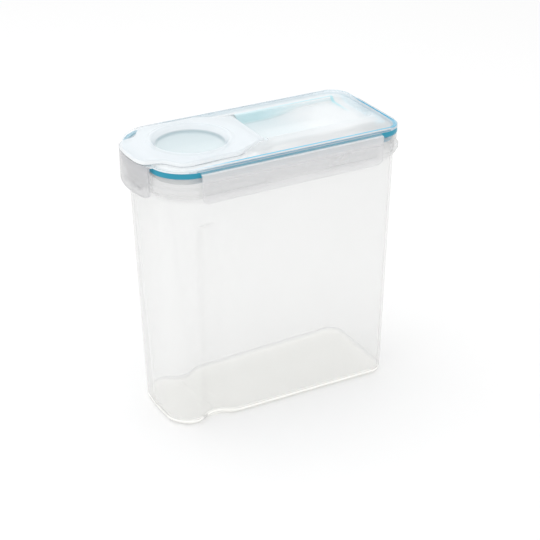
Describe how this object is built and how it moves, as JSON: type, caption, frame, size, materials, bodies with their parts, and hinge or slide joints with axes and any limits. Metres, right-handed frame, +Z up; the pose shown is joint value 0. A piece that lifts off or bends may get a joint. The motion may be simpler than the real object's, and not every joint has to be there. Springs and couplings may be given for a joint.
{
  "type": "cereal keeper with flip spout",
  "caption": "Tall dry-food keeper: tapered container with finger grooves, lid with a seal ring, a flip cap over a round pouring hole, and locking flaps on every side.",
  "frame": {"origin": "on the table, under the middle of the object's length and width", "axes": "+Z up; the flip spout points along -X and the long sides face -Y and +Y"},
  "size_m": [0.2434, 0.121, 0.2595],
  "materials": {
    "container_plastic": "frosted translucent polypropylene",
    "lid_plastic": "semi-gloss translucent polypropylene",
    "flap_plastic": "semi-gloss translucent polypropylene",
    "seal_rubber": "satin silicone"
  },
  "bodies": {
    "container": {"container": "container_plastic"},
    "lid": {"lid": "lid_plastic", "lid_gasket": "seal_rubber"},
    "cap": {"flip_cap": "lid_plastic", "spout_seal": "seal_rubber"},
    "near_flap": {"near_locking_flap": "flap_plastic"},
    "far_flap": {"far_locking_flap": "flap_plastic"},
    "front_flap": {"front_locking_flap": "flap_plastic"},
    "rear_flap": {"rear_locking_flap": "flap_plastic"}
  },
  "joints": [
    {"name": "lid_lift", "type": "slide", "parent": "container", "child": "lid", "axis": [0, 0, 1], "range_m": [0, 0.06]},
    {"name": "cap_flip", "type": "hinge", "parent": "lid", "child": "cap", "pos_m": [-0.0115, 0, 0.2542], "axis": [0, 1, 0], "range_deg": [0, 100]},
    {"name": "near_flap_hinge", "type": "hinge", "parent": "lid", "child": "near_flap", "pos_m": [0.0046, -0.0596, 0.2506], "axis": [-1, 0, 0], "range_deg": [0, 120]},
    {"name": "far_flap_hinge", "type": "hinge", "parent": "lid", "child": "far_flap", "pos_m": [0.0046, 0.0596, 0.2506], "axis": [1, 0, 0], "range_deg": [0, 120]},
    {"name": "front_flap_hinge", "type": "hinge", "parent": "lid", "child": "front_flap", "pos_m": [-0.1208, 0, 0.2531], "axis": [0, 1, 0], "range_deg": [0, 120]},
    {"name": "rear_flap_hinge", "type": "hinge", "parent": "lid", "child": "rear_flap", "pos_m": [0.1208, 0, 0.2506], "axis": [0, -1, 0], "range_deg": [0, 120]}
  ]
}
